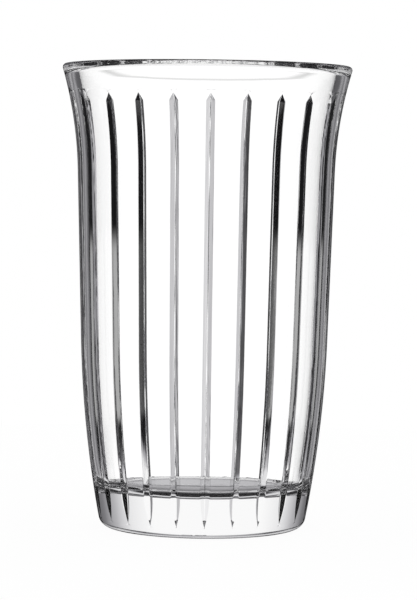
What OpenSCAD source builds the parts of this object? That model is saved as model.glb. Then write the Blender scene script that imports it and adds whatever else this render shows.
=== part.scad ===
// Highball glass, pressed in one piece of clear glass.
// A thick foot, a wall that swells from it, runs nearly straight and flares to the rim,
// and upright V cuts all round the outside, pointed at both ends.
// Millimetres. The origin is the middle of the foot on the table, +Z runs up the axis,
// and one of the cuts faces -Y.

/* [Body] */
// Height from the table to the rim
height = 132; // [112:0.5:160]
// Diameter of the wall where the flare starts
body_d = 73.4; // [68:0.1:82]
// Lean of the straight stretch of the wall, in degrees from upright
body_lean = 1.7; // [0.5:0.1:3]
// Height at which the wall starts to draw in towards the foot
belly_h = 53.5; // [40:0.5:70]
// Radius of the curve that draws the wall in
belly_r = 320; // [260:1:500]
// Thickness of the wall, square to its surface
wall_t = 4; // [3.2:0.1:5]

/* [Rim] */
// Length of the flare, measured down from the rim
flare_h = 30; // [20:0.5:40]
// Radius of the flare
flare_r = 115; // [90:1:200]
// Rounding of the outer edge of the rim
lip_outer_r = 1; // [0.5:0.1:1.2]
// Rounding of the inner edge of the rim
lip_inner_r = 3; // [1.5:0.1:3]

/* [Foot] */
// Rounding of the outer edge of the foot
heel_r = 3.4; // [2:0.1:5]
// Width of the flat ring that the glass stands on
ring_w = 2.4; // [1:0.1:5]
// Rise of the hollow under the foot
hollow_rise = 1; // [0.4:0.1:3]
// Thickness of the glass from the table to the inner floor
floor_t = 11.3; // [7:0.1:16]
// Rounding between the inner floor and the inner wall
floor_corner_r = 5; // [2:0.1:9]

/* [Cuts] */
// Number of cuts round the glass
cut_count = 24; // [16:1:28]
// Width of a cut at the surface of the wall
cut_w = 2.75; // [1.5:0.05:4]
// Depth of a cut, square to the wall
cut_depth = 1.05; // [0.4:0.05:1.6]
// Distance from the rim down to the upper points of the cuts
cut_drop = 8.8; // [6:0.1:18]
// Length of a cut's upper point
cut_point = 2.2; // [1:0.1:4]
// Height of the lower points of the cuts above the table
cut_foot = 3.4; // [3:0.1:8]
// Length over which a cut runs out towards its lower point
cut_lift = 8.5; // [4:0.1:14]

/* [Hidden] */
$fn = 180;

// Greatest turn, in degrees, from one straight piece of a curve to the next: on the
// wall's lower curve, on its flare, and on the small roundings of the rim and the foot
belly_turn = 1.3;
flare_turn = 2.5;
round_turn = 15;
// Straight pieces along the run-out of a cut
lift_steps = 5;
// How far a cut's tool stands out of the wall, as a share of the depth of the cut
overrun_share = 0.4;
// Length of the sweep that makes one side of a cut, as a share of the cut's width
sweep_share = 6;

// Centres of the two large curves of the wall, as [radius, height]
flare_z = height - flare_h;
body_r = body_d / 2;
belly_joint_r = body_r - (flare_z - belly_h) * tan(body_lean);
belly_c = [belly_joint_r, belly_h] - belly_r * outward(body_lean);
flare_c = [body_r, flare_z] + flare_r * outward(body_lean);

// Edge of the foot: a circle that touches the table and the wall
heel_lean = belly_lean(heel_r, heel_r);
heel_c = belly_point(heel_lean, heel_r);
ring_r = heel_c[0] - ring_w;
hollow_r = (ring_r * ring_r + hollow_rise * hollow_rise) / (2 * hollow_rise);
hollow_angle = asin(ring_r / hollow_r);

// Edge of the rim: one circle outside, one inside, both level with the rim
lip_outer_lean = flare_lean(height - lip_outer_r, lip_outer_r);
lip_outer_c = flare_point(lip_outer_lean, lip_outer_r);
lip_inner_lean = flare_lean(height - lip_inner_r, wall_t - lip_inner_r);
lip_inner_c = flare_point(lip_inner_lean, wall_t - lip_inner_r);

// Corner between the inner floor and the inner wall
corner_lean = belly_lean(floor_t + floor_corner_r, wall_t + floor_corner_r);
corner_c = belly_point(corner_lean, wall_t + floor_corner_r);

// Slope of a cut's two sides, and the radius about which they are turned to it
side_lean = atan(2 * cut_depth / cut_w);
cut_pivot_r = belly_joint_r;

// Direction square to the wall, outwards, where the wall leans by that angle
function outward(lean) = [cos(lean), -sin(lean)];

// Points at a depth under the wall's surface, on the lower and on the upper curve
function belly_point(lean, depth) = belly_c + (belly_r - depth) * outward(lean);
function flare_point(lean, depth) = flare_c - (flare_r + depth) * outward(lean);

// Lean of the wall where the point at that depth has the given height
function belly_lean(z, depth) = asin((belly_c[1] - z) / (belly_r - depth));
function flare_lean(z, depth) = asin((z - flare_c[1]) / (flare_r + depth));

// Points of an arc from one angle to another, in pieces that each turn by no more than max_turn
function arc(c, r, from, to, max_turn) =
    let (steps = ceil(abs(to - from) / max_turn))
    [for (i = [0:steps]) let (a = from + (to - from) * i / steps) c + r * [cos(a), sin(a)]];

// The wall's line at a depth under its surface, between two leans, from the foot upwards
function wall_line(depth, low_lean, high_lean) = concat(
    arc(belly_c, belly_r - depth, -low_lean, -body_lean, belly_turn),
    arc(flare_c, flare_r + depth, 180 - body_lean, 180 - high_lean, flare_turn)
);

function reversed(points) = [for (i = [len(points) - 1:-1:0]) points[i]];

// Half section of the glass before it is cut, from the axis under the foot
// round the outside to the rim and down the inside to the floor
module half_section() {
    hollow = arc([0, hollow_rise - hollow_r], hollow_r, 90, 90 - hollow_angle, belly_turn);
    heel = arc(heel_c, heel_r, -90, -heel_lean, round_turn);
    outside = wall_line(0, heel_lean, lip_outer_lean);
    rim_outer = arc(lip_outer_c, lip_outer_r, -lip_outer_lean, 90, round_turn);
    rim_inner = arc(lip_inner_c, lip_inner_r, 90, 180 - lip_inner_lean, round_turn);
    inside = reversed(wall_line(wall_t, corner_lean, lip_inner_lean));
    corner = arc(corner_c, floor_corner_r, -corner_lean, -90, round_turn);
    polygon(concat(hollow, heel, outside, rim_outer, rim_inner, inside, corner, [[0, floor_t]]));
}

// Points of a cut's section along its root: the root keeps its depth under the wall, rises
// straight to the upper point, and curves out to the lower point as a wheel lifts off
function cut_section() =
    let (
        overrun = cut_depth * overrun_share,
        full_z = cut_foot + cut_lift,
        top_z = height - cut_drop,
        low_lean = belly_lean(full_z, 0),
        high_lean = flare_lean(top_z - cut_point, 0),
        root = wall_line(cut_depth, low_lean, high_lean),
        top_root = flare_point(high_lean, cut_depth),
        top_tip = flare_point(flare_lean(top_z, 0), 0),
        top_end = top_tip + (top_tip - top_root) * overrun_share,
        lift_end = sqrt(1 + overrun_share),
        lift = [for (i = [lift_steps:-1:1])
            let (u = lift_end * i / lift_steps)
            belly_point(belly_lean(full_z - u * cut_lift, 0), cut_depth * (1 - u * u))],
        back = reversed(wall_line(-overrun, low_lean, high_lean))
    )
    concat(lift, root, [top_end], back);

// One side of a cut: the section swept level and square to its own slope,
// and drawn narrower by that slope, so that it meets the root where the section does
module cut_side(turn) {
    translate([cut_pivot_r, 0, 0])
        rotate([90, 0, turn])
        linear_extrude(height = cut_w * sweep_share, center = true)
        polygon([for (p = cut_section()) [(p[0] - cut_pivot_r) * cos(turn), p[1]]]);
}

// A V cut that faces +X
module cut() {
    intersection() {
        cut_side(side_lean);
        cut_side(-side_lean);
    }
}

module tumbler() {
    color("lightcyan", 0.5)
        difference() {
            rotate_extrude() half_section();
            for (i = [0:cut_count - 1])
                rotate(i * 360 / cut_count - 90) cut();
        }
}

tumbler();
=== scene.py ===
# Highball glass of clear pressed glass, with upright V cuts round the outside, on a white table.
# One piece of glass stands for the CAD model's tumbler, with finer curves and softened edges.

import math

import bmesh
import bpy
from mathutils import Matrix, Vector

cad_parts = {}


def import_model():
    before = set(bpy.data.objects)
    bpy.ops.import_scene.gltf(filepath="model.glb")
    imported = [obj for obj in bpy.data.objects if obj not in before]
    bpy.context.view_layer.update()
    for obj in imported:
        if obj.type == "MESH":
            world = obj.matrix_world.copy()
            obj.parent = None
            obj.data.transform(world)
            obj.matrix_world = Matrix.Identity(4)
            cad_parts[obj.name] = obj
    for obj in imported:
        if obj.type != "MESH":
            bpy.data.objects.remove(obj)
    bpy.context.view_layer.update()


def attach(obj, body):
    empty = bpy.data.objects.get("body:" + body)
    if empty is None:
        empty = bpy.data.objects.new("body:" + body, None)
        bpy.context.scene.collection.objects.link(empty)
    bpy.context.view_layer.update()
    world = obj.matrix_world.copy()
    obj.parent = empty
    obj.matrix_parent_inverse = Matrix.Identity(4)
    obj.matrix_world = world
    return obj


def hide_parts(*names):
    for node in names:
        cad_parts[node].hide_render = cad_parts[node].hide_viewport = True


# Sizes of the glass in millimetres, as the CAD model has them
HEIGHT = 132.0
BODY_R = 36.7
BODY_LEAN = math.radians(1.7)
BELLY_H = 53.5
BELLY_R = 320.0
WALL_T = 4.0
FLARE_H = 30.0
FLARE_R = 115.0
LIP_OUTER_R = 1.0
LIP_INNER_R = 3.0
HEEL_R = 3.4
RING_W = 2.4
HOLLOW_RISE = 1.0
FLOOR_T = 11.3
CORNER_R = 5.0
CUT_COUNT = 24
CUT_W = 2.75
CUT_DEPTH = 1.05
CUT_TOP = 123.2
CUT_POINT = 2.2
CUT_FOOT = 3.4
CUT_LIFT = 8.5
# Height at which the flare starts
FLARE_Z = HEIGHT - FLARE_H
# A millimetre in metres
MM = 0.001

# Rings of vertices. Those where a cut runs out at its foot are shares of that length, down from
# its upper end. The others are heights, up the outside and then down the inside.
LIFT_SHARES = (1, 0.94, 0.85, 0.7, 0.5, 0.25, 0)
BELLY_RINGS = (16, 20, 25, 30, 35, 40, 45, 50, BELLY_H)
STRAIGHT_RINGS = (62, 70, 78, 86, 94, FLARE_Z)
FLARE_RINGS = (104, 106, 108, 110, 112, 114, 116, 118, 120, 120.8)
POINT_RINGS = (CUT_TOP - CUT_POINT, 121.2, 122, 122.9, CUT_TOP)
UNCUT_RINGS = (124.4, 126, 127.5, 129)
INNER_FLARE_RINGS = (128, 126, 124, 122, 120, 118, 116, 114, 112, 110, 108, 106, 104)
INNER_BELLY_RINGS = (48, 43, 38, 33, 28, 24, 20)
# Straight pieces in the small roundings, in the outer one of the lip, in the hollow under the
# foot, in the straight stretch of the inner wall and in the inner floor
ROUND_STEPS = 8
LIP_OUTER_STEPS = 7
HOLLOW_STEPS = 5
INNER_STEPS = 7
FLOOR_STEPS = 4

# Columns of one half of a cut, as shares of its half width, and the number of columns that
# half of the rib beside it gets
CUT_SHARES = (0, 0.12, 0.5, 0.86, 1, 1.14)
RIB_COLUMNS = 5
COLUMNS = len(CUT_SHARES) - 1 + RIB_COLUMNS
# Angle from the middle of a cut to the middle of the rib beside it
SECTOR = math.pi / CUT_COUNT
# Half width that is left at the ends of a cut, in millimetres, and how many times sooner than
# the cut itself its groove mark is at its full strength
LEAST_HALF_W = 0.05
GROOVE_GAIN = 4
# Distances in millimetres under which vertices are made one, where two halves of a cut meet and
# on the whole glass, and the length under which an edge is dropped
MIRROR_GAP = 0.001
SEAM_GAP = 0.002
LEAST_EDGE = 0.001

# The camera, in millimetres: how far it is from the axis of the glass and from the table, and
# the place that it looks at, to the right of the axis and up from the table
CAMERA_FAR = 740.0
CAMERA_HIGH = 101.3
AIM_RIGHT = 1.1
AIM_HIGH = 65.05
# How far the camera is turned round the glass, and how far it is rolled
TURN = math.radians(-1.4)
ROLL = math.radians(0.75)
# Height of its sensor in millimetres, pixels to a millimetre at the glass, pixels in the height
# of the picture, and the nearest distance that it shows, in metres
SENSOR = 24
PIXELS_PER_MM = 3.495
PICTURE_H = 600
CLIP = 0.05


def outward(lean):
    """Direction square to the wall, in the plane of the section, where the wall has that lean."""
    return Vector((math.cos(lean), 0, -math.sin(lean)))


# Centres of the two large curves of the wall, below and on the flare
BELLY_JOINT = Vector((BODY_R - (FLARE_Z - BELLY_H) * math.tan(BODY_LEAN), 0, BELLY_H))
BELLY_C = BELLY_JOINT - BELLY_R * outward(BODY_LEAN)
FLARE_C = Vector((BODY_R, 0, FLARE_Z)) + FLARE_R * outward(BODY_LEAN)


def belly_lean(z, depth):
    """Lean of the lower curve where the point at a depth under it has that height."""
    return math.asin((BELLY_C.z - z) / (BELLY_R - depth))


def flare_lean(z, depth):
    """The same on the flare."""
    return math.asin((z - FLARE_C.z) / (FLARE_R + depth))


def belly_point(lean, depth):
    """Point at a depth under the lower curve, where the wall has that lean."""
    return BELLY_C + (BELLY_R - depth) * outward(lean)


def flare_point(lean, depth):
    """The same on the flare."""
    return FLARE_C - (FLARE_R + depth) * outward(lean)


class Section:
    """The line of the glass's half section, drawn by carrying its end along arcs and straights.
    Each vertex is marked with the lean of the wall and with the share of its full size that a
    cut has there, or -1 where none runs."""

    def __init__(self, bm, start):
        self.bm = bm
        self.cut = bm.verts.layers.float.new("cut")
        self.lean = bm.verts.layers.float.new("lean")
        bm.verts.layers.float.new("groove")
        self.end = bm.verts.new(start)
        self.mark(-1)

    def mark(self, cut, lean=0.0):
        self.end[self.cut] = cut
        self.end[self.lean] = lean

    def turn(self, centre, angle, steps):
        """Carries the end round a centre, anticlockwise with the axis on the left."""
        made = bmesh.ops.spin(self.bm, geom=[self.end], cent=centre, axis=(0, -1, 0),
                              angle=angle, steps=steps, use_duplicate=False)
        self.end = next(g for g in made["geom_last"] if isinstance(g, bmesh.types.BMVert))

    def line(self, to, pieces):
        """Carries the end straight to a point, in so many pieces."""
        step = (Vector(to) - self.end.co) / pieces
        for _ in range(pieces):
            made = bmesh.ops.extrude_vert_indiv(self.bm, verts=[self.end])
            self.end = made["verts"][0]
            self.end.co += step

    def climb(self, centre, heights, side, cut=None):
        """Carries the end round a centre from height to height. side is 1 where the wall lies
        beyond the centre and -1 where it lies before it."""
        for z in heights:
            arm = self.end.co - centre
            there = math.asin((z - centre.z) / arm.length)
            now = math.asin(arm.z / arm.length)
            self.turn(centre, side * (there - now), 1)
            self.mark(-1 if cut is None else cut(z), -there if side > 0 else there)


def cut_share(z):
    """How much of its full depth and width a cut has at that height."""
    full = CUT_FOOT + CUT_LIFT
    if z >= full:
        return min(1.0, max(0.0, (CUT_TOP - z) / CUT_POINT))
    return max(0.0, 1 - ((full - z) / CUT_LIFT) ** 2)


def draw_section(bm):
    """Half section from the axis under the foot, round the outside and the rim, to the inner
    floor."""
    section = Section(bm, (0, 0, HOLLOW_RISE))
    heel_lean = belly_lean(HEEL_R, HEEL_R)
    heel_c = belly_point(heel_lean, HEEL_R)
    ring_r = heel_c.x - RING_W
    hollow_r = (ring_r ** 2 + HOLLOW_RISE ** 2) / (2 * HOLLOW_RISE)
    section.turn((0, 0, HOLLOW_RISE - hollow_r), -math.asin(ring_r / hollow_r), HOLLOW_STEPS)
    section.line((heel_c.x, 0, 0), 1)
    section.turn(heel_c, math.pi / 2 - heel_lean, ROUND_STEPS)

    lift_rings = tuple(CUT_FOOT + CUT_LIFT * (1 - share) for share in LIFT_SHARES)
    section.climb(BELLY_C, lift_rings + BELLY_RINGS, 1, cut_share)
    for z in STRAIGHT_RINGS:
        section.line((BODY_R - (FLARE_Z - z) * math.tan(BODY_LEAN), 0, z), 1)
        section.mark(1, BODY_LEAN)
    lip_outer_lean = flare_lean(HEIGHT - LIP_OUTER_R, LIP_OUTER_R)
    lip_outer_c = flare_point(lip_outer_lean, LIP_OUTER_R)
    lip_z = lip_outer_c.z - LIP_OUTER_R * math.sin(lip_outer_lean)
    section.climb(FLARE_C, FLARE_RINGS + POINT_RINGS, -1, cut_share)
    section.climb(FLARE_C, UNCUT_RINGS + (lip_z,), -1)

    section.turn(lip_outer_c, math.pi / 2 + lip_outer_lean, LIP_OUTER_STEPS)
    lip_inner_lean = flare_lean(HEIGHT - LIP_INNER_R, WALL_T - LIP_INNER_R)
    lip_inner_c = flare_point(lip_inner_lean, WALL_T - LIP_INNER_R)
    section.line((lip_inner_c.x, 0, HEIGHT), 1)
    section.turn(lip_inner_c, math.pi / 2 - lip_inner_lean, ROUND_STEPS)

    inner_flare = flare_point(BODY_LEAN, WALL_T)
    section.climb(FLARE_C, INNER_FLARE_RINGS + (inner_flare.z,), -1)
    section.line(belly_point(BODY_LEAN, WALL_T), INNER_STEPS)
    corner_lean = belly_lean(FLOOR_T + CORNER_R, WALL_T + CORNER_R)
    corner_c = belly_point(corner_lean, WALL_T + CORNER_R)
    corner_z = corner_c.z - CORNER_R * math.sin(corner_lean)
    section.climb(BELLY_C, INNER_BELLY_RINGS + (corner_z,), 1)
    section.turn(corner_c, corner_lean - math.pi / 2, ROUND_STEPS)
    section.line((0, 0, FLOOR_T), FLOOR_STEPS)


def press_cuts(bm):
    """Presses one half of a cut into the sector that runs from the cut's middle to the rib's."""
    cut = bm.verts.layers.float["cut"]
    lean = bm.verts.layers.float["lean"]
    groove = bm.verts.layers.float["groove"]
    for v in bm.verts:
        share = v[cut]
        if share < 0:
            continue
        radius = math.hypot(v.co.x, v.co.y)
        column = round(math.atan2(v.co.y, v.co.x) / SECTOR * COLUMNS)
        half_width = max(share * CUT_W / 2, LEAST_HALF_W)
        if column < len(CUT_SHARES):
            across = CUT_SHARES[column]
            angle = math.asin(across * half_width / radius)
            depth = CUT_DEPTH * share * max(0, 1 - across)
            v[groove] = min(1, share * GROOVE_GAIN) * max(0, 1 - across)
        else:
            edge = math.asin(CUT_SHARES[-1] * half_width / radius)
            angle = edge + (SECTOR - edge) * (column - len(CUT_SHARES) + 1) / RIB_COLUMNS
            depth = 0
        v.co = Matrix.Rotation(angle, 3, "Z") @ Vector((radius, 0, v.co.z))
        v.co -= outward(v[lean]) * depth


def whole(bm):
    """All that has been drawn so far."""
    return bm.verts[:] + bm.edges[:] + bm.faces[:]


def make_object(name, bm, material):
    """Object in the scene with the shape that was drawn, in a material."""
    mesh = bpy.data.meshes.new(name)
    bm.to_mesh(mesh)
    bm.free()
    mesh.materials.append(material)
    made = bpy.data.objects.new(name, mesh)
    bpy.context.scene.collection.objects.link(made)
    return made


def build_glass():
    """The glass: one sector spun from the section, mirrored, and repeated round the axis."""
    bm = bmesh.new()
    draw_section(bm)
    bmesh.ops.spin(bm, geom=whole(bm), cent=(0, 0, 0), axis=(0, 0, 1), angle=SECTOR,
                   steps=COLUMNS, use_duplicate=False)
    press_cuts(bm)
    bmesh.ops.mirror(bm, geom=whole(bm), matrix=Matrix.Identity(4), merge_dist=MIRROR_GAP,
                     axis="Y")
    others = CUT_COUNT - 1
    bmesh.ops.spin(bm, geom=whole(bm), cent=(0, 0, 0), axis=(0, 0, 1), angle=2 * SECTOR * others,
                   steps=others, use_duplicate=True)
    bmesh.ops.remove_doubles(bm, verts=bm.verts[:], dist=SEAM_GAP)
    bmesh.ops.dissolve_degenerate(bm, edges=bm.edges[:], dist=LEAST_EDGE)
    bmesh.ops.recalc_face_normals(bm, faces=bm.faces[:])
    to_front = Matrix.Rotation(-math.pi / 2, 3, "Z")
    bmesh.ops.rotate(bm, cent=(0, 0, 0), matrix=to_front, verts=bm.verts[:])
    bmesh.ops.scale(bm, vec=(MM, MM, MM), verts=bm.verts[:])
    for face in bm.faces:
        face.smooth = True
    return make_object("glass_body", bm, glass_material())


WHITE = (1, 1, 1, 1)


def set_stops(ramp, stops):
    """Gives a colour ramp its greys, from pairs of a place and a tone."""
    while len(ramp.elements) > 1:
        ramp.elements.remove(ramp.elements[-1])
    for i, (place, tone) in enumerate(stops):
        stop = ramp.elements[0] if i == 0 else ramp.elements.new(place)
        stop.position = place
        stop.color = (tone, tone, tone, 1)


def add(tree, kind, settings=None, inputs=None, out=0):
    """Adds a node, its settings first, then the values or links of its sockets, and gives the
    wire that leaves one of its outputs."""
    node = tree.nodes.new(kind)
    for name, value in (settings or {}).items():
        if name == "stops":
            set_stops(node.color_ramp, value)
        else:
            setattr(node, name, value)
    for name, value in (inputs or {}).items():
        if isinstance(value, Wire):
            tree.links.new(value.socket, node.inputs[name])
        else:
            node.inputs[name].default_value = value
    return Wire(tree, node.outputs[out]) if len(node.outputs) else None


class Wire:
    """A value that runs through the nodes. Sums on it add the Math nodes that work them out."""

    def __init__(self, tree, socket):
        self.tree = tree
        self.socket = socket

    def math(self, operation, *values):
        inputs = dict(enumerate((self, *values)))
        return add(self.tree, "ShaderNodeMath", {"operation": operation}, inputs)

    def __add__(self, other):
        return self.math("ADD", other)

    __radd__ = __add__

    def __sub__(self, other):
        return self.math("SUBTRACT", other)

    def __rsub__(self, other):
        return (self * -1) + other

    def __mul__(self, other):
        return self.math("MULTIPLY", other)

    __rmul__ = __mul__

    def __truediv__(self, other):
        return self.math("DIVIDE", other)

    def smooth(self, low, high):
        """0 below low, 1 above high, and smooth between them."""
        return add(self.tree, "ShaderNodeMapRange", {"interpolation_type": "SMOOTHSTEP"},
                   {"Value": self, "From Min": low, "From Max": high, "To Min": 0, "To Max": 1})


def blend(first, second, share):
    """The first value where share is 0, the second where it is 1."""
    return first * (1 - share) + share * second


def split(vector):
    """The three numbers of a vector."""
    numbers = add(vector.tree, "ShaderNodeSeparateXYZ", {}, {"Vector": vector}).socket.node
    return [Wire(vector.tree, socket) for socket in numbers.outputs]


def mix_colours(tree, share, first, second):
    """The first colour where share is 0, the second where it is 1."""
    return add(tree, "ShaderNodeMix", {"data_type": "RGBA"},
               {"Factor": share, 6: first, 7: second}, out=2)


def mix_shaders(tree, share, first, second):
    """The first shader where share is 0, the second where it is 1."""
    return add(tree, "ShaderNodeMixShader", {}, {0: share, 1: first, 2: second})


def light_path(tree, name):
    return add(tree, "ShaderNodeLightPath", out=name)


def passed(tree, times):
    """1 for light that has gone through more than so many surfaces of the glass, else 0."""
    return light_path(tree, "Transmission Depth").math("GREATER_THAN", times + 0.5)


def mirrored(tree, times):
    """1 for light that has been mirrored more than so many times, else 0."""
    return light_path(tree, "Glossy Depth").math("GREATER_THAN", times + 0.5)


def empty_tree(owner):
    """Node tree of a material or world, with nothing in it."""
    owner.use_nodes = True
    owner.node_tree.nodes.clear()
    return owner.node_tree


# How strongly the glass bends light
IOR = 1.52
# Faint waves of the pressed wall, and tool marks that run along the cuts: the scale of each
# pattern, the stretch of the marks up the cut, the strength of a cut's groove mark between
# which they set in, and the height of both in metres
WAVES = 60.0
MARKS = 1500.0
MARKS_STRETCH = (1, 1, 0.02)
MARKS_FROM = (0.02, 0.12)
BUMP_HEIGHT = 0.000025
# Painted shade: a dark line along the root of a cut, standing in for the light that its rounded
# root bends away. How near the root it lies, where the marks break it, the height in metres at
# which it sets in, and how rough it is
ROOT_SHADE = (0.84, 0.94)
ROOT_SHADE_BREAKS = (0.3, 0.6)
ROOT_SHADE_FROM = (0.012, 0.015)
ROOT_SHADE_ROUGHNESS = 0.25
# Painted shade: a dark line along the lip where it turns away, standing in for the light that its
# rounding mirrors away. How far the lip is turned away there, its height in metres, and how strong
# the line is, then the colour of this line and of the painted shade at the roots of the cuts
LIP_SHADE_AWAY = (0.25, 0.6)
LIP_SHADE_FROM = (0.1310, 0.1313)
LIP_SHADE = 0.97
PAINTED_SHADE_COLOUR = (0.03, 0.03, 0.035, 1)
# Height above which the far wall is cleared, just over the inner floor, the radius beyond which
# that height falls, both in metres, and the slope at which it falls
CLEAR_FROM = (0.01131, 0.01136)
CLEAR_FALL_R = 0.028
CLEAR_FALL = 0.35
# Side of the foot, in metres: it lies outside this radius and under this height
FOOT_R = (0.0281, 0.0283)
FOOT_TOP = (0.0109, 0.0113)
# Slope of the side of the foot without its cuts, and the share of the light mirrored there that
# counts as all of it
FOOT_SLOPE = -0.15
ALL_MIRRORED = 0.98
# Painted shade: the far lip, drawn as a faint dark line where the far wall is cleared. Its height
# and half its width in metres, and its strength
FAR_LIP_Z = 0.1299
FAR_LIP_HALF_W = 0.0004
FAR_LIP_SHADE = 0.2
# Painted shade: colour of the dark sheet that stands for what is left of the light where the foot
# mirrors all of it, and that also draws the faint line of the far lip
SHADE_SHEET_COLOUR = (0.02, 0.02, 0.02, 1)


def pressed_glass(tree, place, z):
    """The glass itself, with its faint waves, the marks in its cuts and its thin lines of painted
    shade.
    """
    groove = add(tree, "ShaderNodeAttribute", {"attribute_name": "groove"}, out="Fac")
    waves = add(tree, "ShaderNodeTexNoise", {}, {"Vector": place, "Scale": WAVES, "Detail": 2.0})
    along = add(tree, "ShaderNodeMapping", {}, {"Vector": place, "Scale": MARKS_STRETCH})
    marks = add(tree, "ShaderNodeTexNoise", {}, {
        "Vector": along, "Scale": MARKS, "Detail": 2.0, "Roughness": 0.5})
    bump = add(tree, "ShaderNodeBump", {}, {
        "Height": waves + marks * groove.smooth(*MARKS_FROM), "Strength": 1.0,
        "Distance": BUMP_HEIGHT})
    # Painted shade: a dark line along the root of each cut, broken where the tool marks run
    root_shade = groove.smooth(*ROOT_SHADE) * marks.smooth(*ROOT_SHADE_BREAKS)
    root_shade = root_shade * z.smooth(*ROOT_SHADE_FROM)
    # Painted shade: a dark line along the lip where it turns away from the view
    away = add(tree, "ShaderNodeLayerWeight", {}, {"Blend": 0.5}, out="Facing")
    lip_shade = away.smooth(*LIP_SHADE_AWAY) * z.smooth(*LIP_SHADE_FROM) * LIP_SHADE
    # The glass's colour, darkened by both lines of painted shade
    painted_shade = mix_colours(tree, root_shade.math("MAXIMUM", lip_shade), WHITE, PAINTED_SHADE_COLOUR)
    return add(tree, "ShaderNodeBsdfPrincipled", {}, {
        "Base Color": painted_shade, "Roughness": root_shade * ROOT_SHADE_ROUGHNESS, "IOR": IOR,
        "Transmission Weight": 1.0, "Normal": bump})


def glass_material():
    """Clear glass. The far wall and the far side of the foot are cleared where the near side
    shows them, so that their cuts don't cross the near ones. Painted shade makes the far side of
    the foot dark where it would mirror all the light, and the far lip is kept as a faint painted
    dark line."""
    material = bpy.data.materials.new("clear_pressed_glass")
    tree = empty_tree(material)
    place = add(tree, "ShaderNodeTexCoord", out="Object")
    x, y, z = split(place)
    across = (x * x + y * y).math("SQRT")
    crossed = passed(tree, 1)

    raised = z + (across - CLEAR_FALL_R).math("MAXIMUM", 0.0) * CLEAR_FALL
    far_wall = raised.smooth(*CLEAR_FROM) * crossed
    # Painted shade: a faint dark line at the height of the far lip, on the cleared far wall
    from_lip = ((z - FAR_LIP_Z) * (1 / FAR_LIP_HALF_W)).math("ABSOLUTE")
    far_lip_shade = far_wall * ((1 - from_lip).math("MAXIMUM", 0.0) * FAR_LIP_SHADE)

    foot_side = across.smooth(*FOOT_R) * (1 - z.smooth(*FOOT_TOP))
    far_foot = foot_side * (passed(tree, 0) * (1 - crossed))
    plain = add(tree, "ShaderNodeCombineXYZ", {}, {"X": x, "Y": y, "Z": across * FOOT_SLOPE})
    uncut = add(tree, "ShaderNodeVectorMath", {"operation": "NORMALIZE"}, {0: plain})
    glance = add(tree, "ShaderNodeFresnel", {}, {"IOR": IOR, "Normal": uncut})
    mirrors_all = glance.math("GREATER_THAN", ALL_MIRRORED)
    # Painted shade: the far side of the foot is made dark where it would mirror all the light
    painted_foot_shade = far_foot * mirrors_all * (1 - mirrored(tree, 0))

    clear = add(tree, "ShaderNodeBsdfTransparent")
    dark = add(tree, "ShaderNodeBsdfTransparent", {}, {"Color": SHADE_SHEET_COLOUR})
    cleared = far_wall.math("MAXIMUM", far_foot * (1 - mirrors_all))
    mix = mix_shaders(tree, cleared, pressed_glass(tree, place, z), clear)
    mix = mix_shaders(tree, painted_foot_shade.math("MAXIMUM", far_lip_shade), mix, dark)
    add(tree, "ShaderNodeOutputMaterial", {}, {"Surface": mix})
    return material


# Sides of the round table and of the round card
ROUND_SIDES = 96
# The table: its radius in metres, its colour, and how much of it the camera sees as plain white
TABLE_R = 0.3
TABLE_COLOUR = (0.9, 0.9, 0.9, 1)
TABLE_WHITE = 0.96


def table_material():
    """White table that keeps a light shadow of the glass. The glass shows the studio's own light
    below the horizon in its place."""
    material = bpy.data.materials.new("white_table")
    tree = empty_tree(material)
    matt = add(tree, "ShaderNodeBsdfDiffuse", {}, {"Color": TABLE_COLOUR})
    white = add(tree, "ShaderNodeEmission", {}, {"Color": WHITE, "Strength": 1.0})
    seen = mix_shaders(tree, light_path(tree, "Is Camera Ray") * TABLE_WHITE, matt, white)
    through = add(tree, "ShaderNodeBsdfTransparent")
    glossy = light_path(tree, "Is Glossy Ray")
    by_glass = light_path(tree, "Is Transmission Ray").math("MAXIMUM", glossy)
    mix = mix_shaders(tree, by_glass, seen, through)
    add(tree, "ShaderNodeOutputMaterial", {}, {"Surface": mix})
    return material


def lay_table():
    bm = bmesh.new()
    bmesh.ops.create_circle(bm, cap_ends=True, segments=ROUND_SIDES, radius=TABLE_R)
    make_object("table", bm, table_material())


# More mirrorings than this, and light is trapped in the glass
TRAPPED_TIMES = 2
# White card that stands round the glass, at its sides and in front, for what the glass mirrors
# inside: its tone, its distance from the axis and the heights between which its lower and upper
# edges fade, in metres, and the angles from straight behind, in radians, at which it sets in
CARD_TONE = 0.42
CARD_R = 0.3
CARD_LOW = (-0.03, -0.02)
CARD_HIGH = (0.06, 0.072)
CARD_FROM = (0.9, 1.15)


def card_material():
    """White card that only shows in what the glass mirrors inside once or twice."""
    material = bpy.data.materials.new("white_card")
    tree = empty_tree(material)
    x, y, z = split(add(tree, "ShaderNodeTexCoord", out="Object"))
    aside = x.math("ARCTAN2", y).math("ABSOLUTE").smooth(*CARD_FROM)
    shown = aside * z.smooth(*CARD_LOW) * (1 - z.smooth(*CARD_HIGH))
    inside = mirrored(tree, 0) * (1 - mirrored(tree, TRAPPED_TIMES)) * passed(tree, 0)
    open_air = add(tree, "ShaderNodeBsdfTransparent")
    white = add(tree, "ShaderNodeEmission", {}, {"Color": WHITE, "Strength": CARD_TONE})
    mix = mix_shaders(tree, shown * inside, open_air, white)
    add(tree, "ShaderNodeOutputMaterial", {}, {"Surface": mix})
    return material


def stand_card():
    bm = bmesh.new()
    low, high = CARD_LOW[0], CARD_HIGH[1]
    bmesh.ops.create_cone(bm, cap_ends=False, segments=ROUND_SIDES, radius1=CARD_R,
                          radius2=CARD_R, depth=high - low)
    bmesh.ops.translate(bm, vec=(0, 0, (low + high) / 2), verts=bm.verts[:])
    make_object("white_card", bm, card_material())


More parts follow.
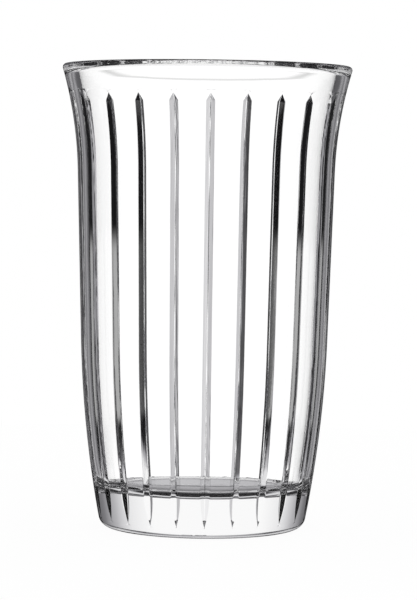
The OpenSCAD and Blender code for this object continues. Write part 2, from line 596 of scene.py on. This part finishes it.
# What the glass shows of the studio. Each stop is an angle in degrees to the right of straight
# behind the glass, and the strength of the light there, and the stops come again every so many
# degrees. low, high and steep are the strengths of the light that comes from lower, from higher
# and from nearly straight below. A direction's height runs from 0, level, to 1, straight up, and
# dip is how far under level the lower light sets in.

# Light that has gone straight through the walls
THROUGH = {
    "every": 90,
    "stops": (
        (-45, 0.0), (-38, 0.01), (-31, 0.01), (-27.5, 0.03), (-25.6, 0.5), (-22, 0.66),
        (-18.5, 0.95), (-16, 1.12), (16, 1.12), (18.5, 0.95), (22, 0.66), (25, 0.52), (26, 0.1),
        (27.3, 0.04), (28.4, 0.12), (30, 0.06), (36, 0.01), (45, 0.0),
    ),
    "dip": (0.155, 0.19), "low": 1.0, "high": 0.1, "steep": 1.0,
}
# Light that has come through the solid foot
SOLID = {
    "every": 90,
    "stops": (
        (-45, 0.13), (-40, 0.16), (-30, 0.24), (-22, 0.5), (-16, 0.85), (-10, 0.99),
        (10, 0.99), (16, 0.85), (22, 0.5), (30, 0.24), (40, 0.16), (45, 0.13),
    ),
    "dip": (0.125, 0.165), "low": 1.0, "high": 0.1, "steep": 1.0,
}
# Light that has been mirrored inside the glass on its way through
INSIDE = {
    "every": 180,
    "stops": (
        (-90, 0.0), (-50, 0.02), (-42, 0.12), (-34, 0.15), (-29, 0.45), (-24, 0.2), (-20, 0.6),
        (-12, 0.1), (0, 0.5), (12, 0.1), (20, 0.6), (24, 0.2), (29, 0.45), (34, 0.15),
        (42, 0.12), (50, 0.02), (90, 0.0),
    ),
    "dip": (0.22, 0.34), "low": 0.8, "high": 0.42, "steep": 0.015,
}
# Light that is trapped in the glass for a while, as in the rim
TRAPPED = {
    "every": 360,
    "stops": (
        (-180, 0.0), (-60, 0.01), (-20, 0.06), (-10, 0.35), (0, 0.55), (10, 0.35), (20, 0.06),
        (60, 0.01), (180, 0.0),
    ),
    "dip": (0.14, 0.3), "low": 0.2, "high": 0.05, "steep": 0.5,
}
# How far over level the higher light sets in, and how far under level the steep light
HIGH_FROM = (0.28, 0.5)
STEEP_FROM = (0.55, 0.75)

# Light that comes up through the inner floor: its strength nearly level, after three surfaces of
# the glass and after four, its strength where it is steeper, all round and behind the glass, and
# its strength where the glass has mirrored it
UNDER_NEAR = 0.45
UNDER_FAR = 0.05
UNDER_STEEP = 0.4
UNDER_BEHIND = 0.15
UNDER_MIRRORED = 0.62
# How far under level it sets in, ends, loses the difference between three surfaces and four and
# grows steeper, and the angles from straight behind, in radians, at which behind ends
UNDER_FROM = (0.0, 0.1)
UNDER_TO = (0.5, 0.65)
UNDER_FAR_TO = (0.15, 0.22)
UNDER_STEEP_FROM = (0.2, 0.5)
BEHIND_TO = (0.5, 0.7)

# Light that the wall carries up to the rim: it is mirrored more than so many times, it sets in
# so far under level, and its strength
RIM_TIMES = 5
RIM_FROM = (0.1, 0.25)
RIM = 0.97
# Light of which little is left, mirrored more than so many times, as in the cuts' upper tips
SPENT_TIMES = 11
SPENT = 0.05
# The room in front of the glass, which its outside mirrors
ROOM = 0.03
# Faint blue cast of the dark fields
DARK_CAST = (0.985, 0.97, 1.035, 1)


def field_light(angle, height, every, stops, dip, low, high, steep):
    """Strength of the light that comes from an angle and a height, by one of the tables."""
    turns = angle / math.radians(every)
    aside = turns - turns.math("ROUND")
    places = [(degrees / every + 0.5, tone) for degrees, tone in stops]
    level = add(angle.tree, "ShaderNodeValToRGB", {"stops": places}, {"Fac": aside + 0.5})
    down = height * -1
    level = blend(level, low, down.smooth(*dip))
    level = blend(level, high, height.smooth(*HIGH_FROM))
    return blend(level, steep, down.smooth(*STEEP_FROM))


def floor_light(angle, down):
    """Strength of the light that comes up through the inner floor."""
    far = passed(angle.tree, 3) * (1 - down.smooth(*UNDER_FAR_TO))
    behind = 1 - angle.math("ABSOLUTE").smooth(*BEHIND_TO)
    steep = blend(UNDER_STEEP, UNDER_BEHIND, behind)
    return blend(blend(UNDER_NEAR, UNDER_FAR, far), steep, down.smooth(*UNDER_STEEP_FROM))


def light_studio():
    """White all round, with dark fields beside the lit ones for what is seen in the glass."""
    world = bpy.data.worlds.new("studio")
    bpy.context.scene.world = world
    tree = empty_tree(world)
    x, y, z = split(add(tree, "ShaderNodeTexCoord", out="Generated"))
    angle = x.math("ARCTAN2", y)
    down = z * -1
    entered, crossed, deep = [passed(tree, times) for times in range(3)]

    rim = mirrored(tree, RIM_TIMES) * down.smooth(*RIM_FROM)
    trapped = blend(field_light(angle, z, **TRAPPED), RIM, rim)
    trapped = blend(trapped, SPENT, mirrored(tree, SPENT_TIMES))
    inside = blend(field_light(angle, z, **INSIDE), UNDER_MIRRORED, deep)
    inside = blend(inside, trapped, mirrored(tree, TRAPPED_TIMES))

    through = blend(field_light(angle, z, **SOLID), field_light(angle, z, **THROUGH), crossed)
    under = deep * down.smooth(*UNDER_FROM) * (1 - down.smooth(*UNDER_TO))
    through = blend(through, floor_light(angle, down), under)

    bent = mirrored(tree, 0)
    in_glass = blend(through, blend(ROOM, inside, entered), bent)
    strength = blend(1.0, in_glass, entered.math("MAXIMUM", bent))
    background = add(tree, "ShaderNodeBackground", {}, {
        "Color": mix_colours(tree, strength, DARK_CAST, WHITE), "Strength": strength})
    add(tree, "ShaderNodeOutputWorld", {}, {"Surface": background})


def set_camera():
    """Camera a little below the rim, turned a touch to the glass's left, looking at its middle."""
    camera = bpy.data.cameras.new("camera")
    eye = bpy.data.objects.new("camera", camera)
    bpy.context.scene.collection.objects.link(eye)
    bpy.context.scene.camera = eye
    camera.sensor_fit = "VERTICAL"
    camera.sensor_height = SENSOR
    camera.lens = SENSOR * PIXELS_PER_MM * CAMERA_FAR / PICTURE_H
    camera.clip_start = CLIP
    about = Matrix.Rotation(TURN, 3, "Z")
    place = about @ Vector((0, -CAMERA_FAR, CAMERA_HIGH))
    aim = about @ Vector((AIM_RIGHT, 0, AIM_HIGH))
    eye.location = place * MM
    look = (aim - place).to_track_quat("-Z", "Y").to_matrix()
    eye.rotation_euler = (look @ Matrix.Rotation(ROLL, 3, "Z")).to_euler()


# How often light is followed on in all, and how often through or inside the glass
BOUNCES = 32
GLASS_BOUNCES = 24


def main():
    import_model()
    set_camera()
    light_studio()
    lay_table()
    stand_card()
    glass = build_glass()
    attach(glass, "root")
    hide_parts("tumbler")
    scene = bpy.context.scene
    scene.view_settings.view_transform = "Standard"
    scene.cycles.max_bounces = BOUNCES
    scene.cycles.glossy_bounces = GLASS_BOUNCES
    scene.cycles.transmission_bounces = GLASS_BOUNCES
    scene.cycles.transparent_max_bounces = GLASS_BOUNCES


main()
